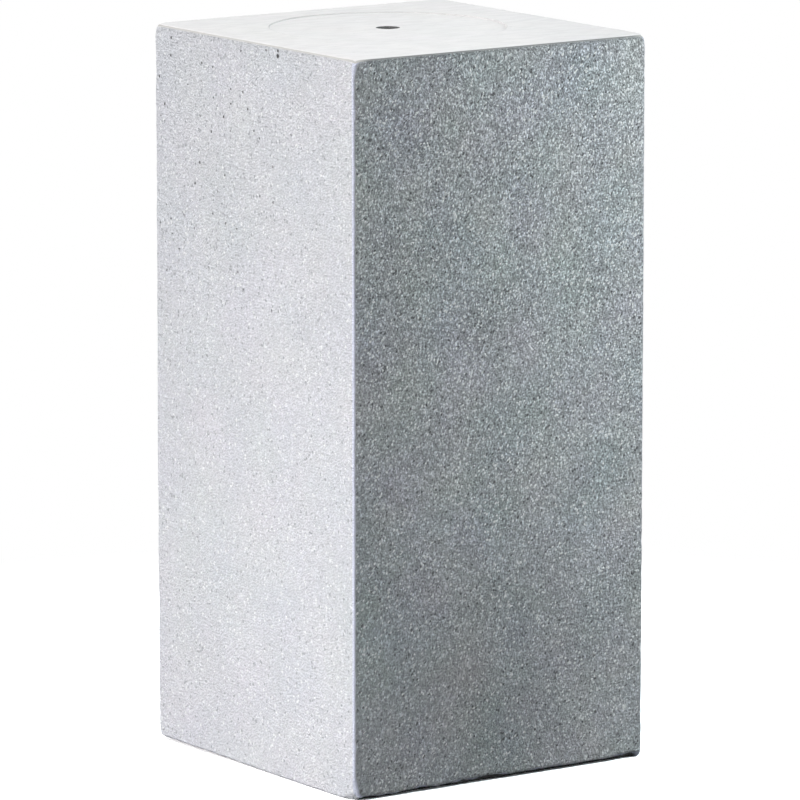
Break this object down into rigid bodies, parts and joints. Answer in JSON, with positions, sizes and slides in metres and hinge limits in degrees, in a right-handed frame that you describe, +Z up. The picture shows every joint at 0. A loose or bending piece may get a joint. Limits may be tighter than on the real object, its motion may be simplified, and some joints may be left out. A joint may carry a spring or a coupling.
{
  "type": "column base block",
  "caption": "Square upright stone base block for a column, with a shallow round seat and a dowel socket in its top.",
  "frame": {"origin": "middle of the underside, the bottom centre of the block's box", "axes": "+Z up, along the block's height; X and Y square to the side faces"},
  "size_m": [0.3, 0.3, 0.625],
  "materials": {
    "stone": "light grey granite: fine-hammered sides, honed top, sawn underside"
  },
  "bodies": {
    "root": {"block": "stone"}
  },
  "joints": []
}
